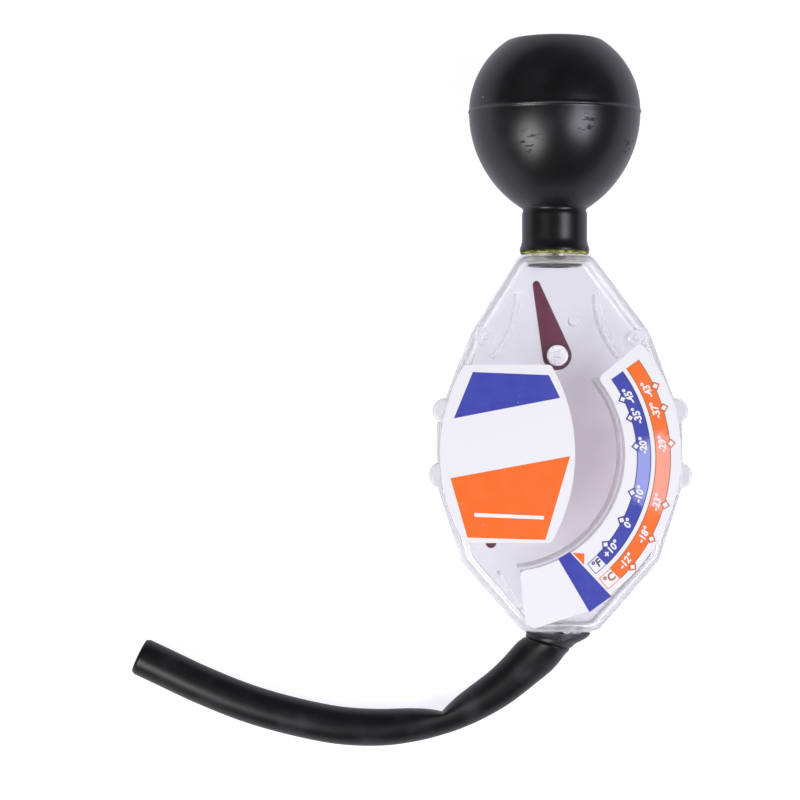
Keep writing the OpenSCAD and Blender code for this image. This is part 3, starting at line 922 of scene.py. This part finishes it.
def rib_paths():
    """Paths of the ribs of the chamber, of the passage under the neck and of the way in from the outlet."""
    chamber = arc(PIVOT, CHAMBER_R, *CHAMBER_SPAN, 60)
    aside = PASSAGE_W / 2 + PASSAGE_R
    right = arc((PASSAGE_X + aside, PASSAGE_Y), PASSAGE_R, 180, 180 + PASSAGE_TURN, 24)
    left = arc((PASSAGE_X - aside, PASSAGE_Y), PASSAGE_R, 0, -PASSAGE_TURN, 24)
    steps = np.linspace(0, ENTRY_LEN, 8)[:, None]
    entry = PIVOT + polar(ENTRY_R, ENTRY_AT) + steps * polar(1.0, ENTRY_HEADING)
    return chamber, right, left, entry


def case_ribs(side):
    """The ribs, as walls from the parting plane into the face."""
    ribs = []
    for path in rib_paths():
        points, faces = wall_along(path, RIB_W, side * PARTING_GAP, side * FACE_MIDDLE, RIB_DRAFT)
        ribs.append(mesh_object("rib", lie(points), faces))
    return ribs


def half_spigot(side, centre_x, low, high):
    """Half of a round spigot: a wall along a half circle seen from the neck, from low to high."""
    middle, width = (SPIGOT_D + SPIGOT_BORE) / 4, (SPIGOT_D - SPIGOT_BORE) / 2
    path = arc((centre_x, side * PARTING_GAP), middle, 0, side * 180, 40)
    points, faces = wall_along(path, width, low, high)
    return mesh_object("spigot", lie(points[..., [0, 2, 1]]), faces)


def mark_milky(shell):
    """Keeps on each face how steep it is and how white its painted reflection is: lugs on top, rims and
    ribs where they slope.

    A slope is sqrt(steep) (1 - steep / 2) of its whitest, and the outer wall only a little so.
    """
    faces = shell.data.polygons
    flat = ((read_vectors(faces, "center") - outlet) @ case_axes.T / MM)[:, None, :2]
    steep = 1 - np.abs(read_vectors(faces, "normal") @ dial_up)
    knots = np.asarray(CASE_KNOTS)
    ahead = unit_vectors(np.roll(knots, -1, axis=0) - knots)
    inside = (ahead[:, 0] * (flat - knots)[..., 1] - ahead[:, 1] * (flat - knots)[..., 0]).min(axis=1)
    rib_gap = np.linalg.norm(flat - np.concatenate(rib_paths()), axis=2).min(axis=1)
    # Painted reflection: frosted white on sloping rims and ribs, on the lugs' tops and a little on the
    # outer wall.
    most = np.where(inside < RIM_REACH, RIM_GLARE, np.where(rib_gap < RIB_REACH, RIB_GLARE, 0))
    milky = most * steep ** 0.5 * (1 - 0.5 * steep)
    lug_gap = np.linalg.norm(flat - np.asarray(LUGS), axis=2).min(axis=1)
    on_lug = (lug_gap < LUG_D / 2 + 0.1) & (inside < LUG_REACH)
    milky = np.where((inside < WALL_REACH) & (steep > STEEP), WALL_GLARE, milky)
    milky = np.where(on_lug & (steep < STEEP), LUG_GLARE, milky)
    keep_values(shell, "FACE", milky=milky, steep=steep)


def make_case():
    """Both half shells, with their ribs, lugs, bosses and spigots joined on and their bores cut."""
    for name, side in (("back_shell", -1), ("front_shell", 1)):
        shell = half_case("clear_" + name, side)
        added = case_posts(side) + case_ribs(side)
        added.append(half_spigot(side, NECK_X, CASE_H - WALL, CASE_H + SPIGOT_LEN))
        added.append(half_spigot(side, 0.0, -OUTLET_LEN, WALL))
        added.append(post("axle_boss", PIVOT, AXLE_BOSS_D, side * AXLE_BOSS_LOW, side * FACE_MIDDLE))
        if side < 0:
            added += [post("peg", c, PEG_D, -PEG_LEN, PEG_LEN, PEG_EDGE, 24) for c in LUGS + BOSSES]
            added.append(post("rivet_boss", FLOAT_PIVOT, RIVET_BOSS_D, -RIVET_BOSS_LOW, -FACE_MIDDLE))
            stop_at = FLOAT_PIVOT + polar(STOP_REACH, STOP_HEADING)
            added.append(post("float_stop", stop_at, STOP_D, -FACE_MIDDLE, STOP_TOP, STOP_EDGE))
        boolean(shell, "UNION", added)
        bore_r = SPIGOT_BORE / 2
        bores = [
            turned_object("bore", [(0, a), (bore_r, a), (bore_r, b), (0, b)], (x, 0), "y")
            for x, a, b in ((NECK_X, CASE_H - 2 * WALL, CASE_H + 2 * WALL), (0.0, -WALL, 2 * WALL))
        ]
        if side > 0:
            hole_d, hole_end = PEG_D + PEG_PLAY, PEG_LEN + PEG_PLAY
            bores += [post("peg_hole", c, hole_d, -1.0, hole_end, PEG_EDGE, 24) for c in LUGS + BOSSES]
        boolean(shell, "DIFFERENCE", bores)
        mark_milky(shell)
        finish = finishes["clear_back" if side < 0 else "clear_front"]
        dress(shell, finish, nodes=[name])


def drop_outline(hub_d, tip_d, reach, heading, centre, steps=24):
    """A drop's outline and normals: two arcs, about the hub and the tip, joined by their tangents."""
    hub_r, tip_r = hub_d / 2, tip_d / 2
    span = reach - tip_r
    lean = math.degrees(math.acos((hub_r - tip_r) / span))
    angles = np.linspace(0, 180, steps)
    near = np.interp(angles, (0, 180), (180, 360 - lean))
    round_tip = np.interp(angles, (0, 180), (-lean, lean))
    far = np.interp(angles, (0, 180), (lean, 180))
    tip = polar(span, 0.0)
    points = np.concatenate([polar(hub_r, near), tip + polar(tip_r, round_tip), polar(hub_r, far)])
    normals = -polar(1.0, np.concatenate([near, round_tip, far]))
    a = math.radians(heading)
    spin = np.array([[math.cos(a), math.sin(a)], [-math.sin(a), math.cos(a)]])
    return centre + points @ spin, normals @ spin


def drop_plate(name, thickness, edge, *drop):
    """A drop-shaped plate with rounded edges, about the parting plane."""
    half = thickness / 2
    low = arc((edge, edge - half), edge, 270, 180, 6)
    high = arc((edge, half - edge), edge, 180, 90, 6)
    flat = edge + FLAT_ROW
    points, faces = rim_loft(*drop_outline(*drop), [(flat, -half), *low, *high, (flat, half)])
    return mesh_object(name, lie(points), faces)


def make_movers():
    """The pointer and the level float, each bored for its pin, and the float's rivet."""
    hub_end = POINTER_HUB_H / 2
    pointer = drop_plate("dial_pointer", *POINTER_DROP, PIVOT)
    boolean(pointer, "UNION", [post("hub", PIVOT, POINTER_HUB_D, -hub_end, hub_end, POINTER_HUB_EDGE)])
    boolean(pointer, "DIFFERENCE", [post("bore", PIVOT, POINTER_BORE, -BORE_REACH, BORE_REACH)])
    dress(pointer, finishes["maroon_plastic"], "pointer", ["pointer"])
    level = drop_plate("drop_float", *FLOAT_DROP, FLOAT_PIVOT)
    boolean(level, "DIFFERENCE", [post("bore", FLOAT_PIVOT, FLOAT_BORE, -BORE_REACH, BORE_REACH)])
    dress(level, finishes["maroon_plastic"], "level_float", ["level_float"])
    pin = [
        (0, RIVET_FOOT), (RIVET_PIN_R, RIVET_FOOT),
        (RIVET_PIN_R, RIVET_SEAT), (RIVET_HEAD_R, RIVET_SEAT),
    ]
    head = arc((RIVET_HEAD_R - RIVET_EDGE, RIVET_SEAT + RIVET_EDGE), RIVET_EDGE, 0, 70, 6)
    dome = [(RIVET_PIN_R, RIVET_TOP - RIVET_DOME), (0, RIVET_TOP)]
    rivet = turned_object("rivet", [*pin, *head, *dome], FLOAT_PIVOT)
    dress(rivet, finishes["rivet_white"], nodes=["float_rivet"])


def plate(outline, low, high):
    """A thin plate over an outline that its middle sees whole: two fans and the edge between them."""
    outline = np.asarray(outline, float)
    middle = np.broadcast_to(outline.mean(axis=0), outline.shape)
    flat = np.stack([middle, outline, outline, middle])
    height = np.broadcast_to(np.array([low, low, high, high])[:, None, None], flat[..., :1].shape)
    return np.concatenate([flat, height], axis=-1), grid_faces(4, len(outline))


def join_meshes(parts):
    """Points and faces of several meshes as one."""
    starts = np.cumsum([0] + [p.reshape(-1, 3).shape[0] for p, _ in parts])
    points = np.concatenate([p.reshape(-1, 3) for p, _ in parts])
    faces = [[i + start for i in face] for start, (_, fs) in zip(starts, parts) for face in fs]
    return points, faces


def printed(name, ink, parts):
    """Ink on a label: one piece of thin plates."""
    points, faces = join_meshes(parts)
    dress(mesh_object(name, lie(points), faces), inks[ink])


def ink_layer(layer):
    """The foot and the top of a layer of ink."""
    return LABEL_TOP + layer * INK, LABEL_TOP + (layer + 1) * INK


def band(radius_in, radius_out, start, end, layer):
    """A printed arc about the scale's centre, on the given layer of ink."""
    path = arc(SCALE_CENTRE, (radius_in + radius_out) / 2, start, end, 60)
    return wall_along(path, radius_out - radius_in, *ink_layer(layer))


def patch(corners, layer):
    """A printed patch with straight edges."""
    return plate(corners, *ink_layer(layer))


def diamond(radius, degrees, reach, layer):
    """A printed diamond whose corners point along and across the scale."""
    across = polar(reach, degrees)
    along = polar(reach, degrees + 90)
    centre = SCALE_CENTRE + polar(radius, degrees)
    return patch([centre + across, centre + along, centre - across, centre - along], layer)


def figure(text, size, centre, degrees, layer, weight):
    """Printed characters, leaning and this bold, centred on a point and turned by an angle."""
    curve = bpy.data.curves.new("figure", "FONT")
    curve.body = text
    curve.size = size
    curve.align_x = "CENTER"
    curve.align_y = "CENTER"
    curve.shear = FIGURE_LEAN
    curve.offset = weight * size
    curve.extrude = INK / 2
    curve.resolution_u = 3
    source = add_object("figure", curve)
    mesh = evaluated_mesh(source)
    points = read_vectors(mesh.vertices, "co").astype(float)
    faces = [list(face.vertices) for face in mesh.polygons]
    bpy.data.objects.remove(source)
    turn = np.stack([polar(1.0, degrees), polar(1.0, degrees + 90)])
    flat = np.asarray(centre) + points[:, :2] @ turn
    return np.c_[flat, points[:, 2] + LABEL_TOP + (layer + 0.5) * INK], faces


def make_title_label():
    """The title label's printing: a blue panel, an orange panel and a white rule."""
    printed("title_blue_panel", "blue", [patch(PIVOT + TITLE_BLUE, 0)])
    printed("title_orange_panel", "orange", [patch(PIVOT + TITLE_ORANGE, 0)])
    printed("title_rule", "white", [patch(PIVOT + TITLE_RULE, 1)])


def scale_row(name, inks_used, radii, mark_radius, figures, unit):
    """One row of the scale: a band with dark edges, numbers, diamonds along one side and a unit box."""
    ink, edge_ink = inks_used
    low, high = radii
    middle = (low + high) / 2
    start, end = UNIT_SPAN
    fill = [band(low, high, *BAND_SPAN, 0), band(low, high, start, end, 0)]
    fill += [diamond(mark_radius, a, MARK_MIDDLE, 2) for a in figures]
    edges = [band(r - BAND_EDGE / 2, r + BAND_EDGE / 2, *BAND_SPAN, 1) for r in radii]
    edges += [diamond(mark_radius, a, MARK_OUTER, 1) for a in figures]
    unit_at = SCALE_CENTRE + polar(middle, (start + end) / 2)
    edges.append(figure(unit, UNIT_SIZE, unit_at, UNIT_TURN, 2, UNIT_WEIGHT))
    white = [
        figure(number, NUMBER_SIZE, SCALE_CENTRE + polar(middle, a), a + 90, 2, NUMBER_WEIGHT)
        for a, number in figures.items()
    ]
    white += [diamond(mark_radius, a, MARK_INNER, 3) for a in figures]
    start, end = start + UNIT_RIM_DEGREES, end - UNIT_RIM_DEGREES
    white.append(band(low + UNIT_RIM, high - UNIT_RIM, start, end, 1))
    printed(name + "_band", ink, fill)
    printed(name + "_edges", edge_ink, edges)
    printed(name + "_numbers", "white", white)


def make_scale_label():
    """The scale label's printing: a blue and an orange row, and the legend's bar with its wedge."""
    scale_row("blue_row", ("blue", "dark"), BLUE_RADII, BLUE_MARKS_R, FAHRENHEIT, "°F")
    scale_row("orange_row", ("orange", "brown"), ORANGE_RADII, ORANGE_MARKS_R, CELSIUS, "°C")
    printed("legend_bar", "blue", [patch(LEGEND_BAR, 0)])
    printed("legend_wedge", "orange", [patch(LEGEND_WEDGE, 0)])


def dress_solids():
    """The solids that stay as they are: both labels and the pointer's axle."""
    kept = {"title_label": "label_white", "scale_label": "label_print", "pointer_axle": "axle_steel"}
    for node, finish in kept.items():
        dress(frame["nodes"][node], finishes[finish], None)


def make_floor():
    """A plain pale floor under the tester."""
    reach, low = 30.0, -5e-5
    corners = [(-reach, -reach, low), (reach, -reach, low), (reach, reach, low), (-reach, reach, low)]
    mesh = bpy.data.meshes.new("floor")
    mesh.from_pydata(corners, [], [(0, 1, 2, 3)])
    floor = add_object("floor", mesh)
    floor.data.materials.append(material("floor_paint", floor_paint))


def soft_box(name, direction, size, tint):
    """A square soft light that faces the middle of the case."""
    lamp = bpy.data.lights.new(name, "AREA")
    lamp.size = size
    lamp.energy = BOX_WATTS
    lamp.color = tint
    towards = unit_vectors(np.asarray(direction, float) @ case_axes)
    holder = add_object(name, lamp)
    holder.location = lie(BOXES_FACE) + BOX_DISTANCE * towards
    holder.rotation_euler = Vector(-towards).to_track_quat("-Z", "Y").to_euler()


def make_light():
    """Pale surroundings, brighter through the clear case, and two soft boxes, left and right."""
    world = bpy.data.worlds.new("studio")
    world.use_nodes = True
    shade = Shade(world.node_tree)
    through = shade.node("ShaderNodeLightPath", output="Is Transmission Ray")
    bounced = shade.math("MINIMUM", shade.node("ShaderNodeLightPath", output="Diffuse Depth"), 1.0)
    background = world.node_tree.nodes["Background"]
    background.inputs["Color"].default_value = (1, 1, 1, 1)
    strength = SKY + through * (SKY_THROUGH_CASE - SKY_BOUNCED * bounced)
    world.node_tree.links.new(strength.socket, background.inputs["Strength"])
    bpy.context.scene.world = world
    soft_box("left_box", (-0.58, -0.39, 0.72), 0.45, (1, 1, 1))
    soft_box("right_box", (0.56, -0.13, 0.82), 0.5, (0.93, 0.91, 1))


make_camera()
make_hose()
make_bulb()
make_seal()
make_case()
make_movers()
make_title_label()
make_scale_label()
dress_solids()
make_floor()
make_light()
bpy.context.scene.view_settings.view_transform = "Standard"
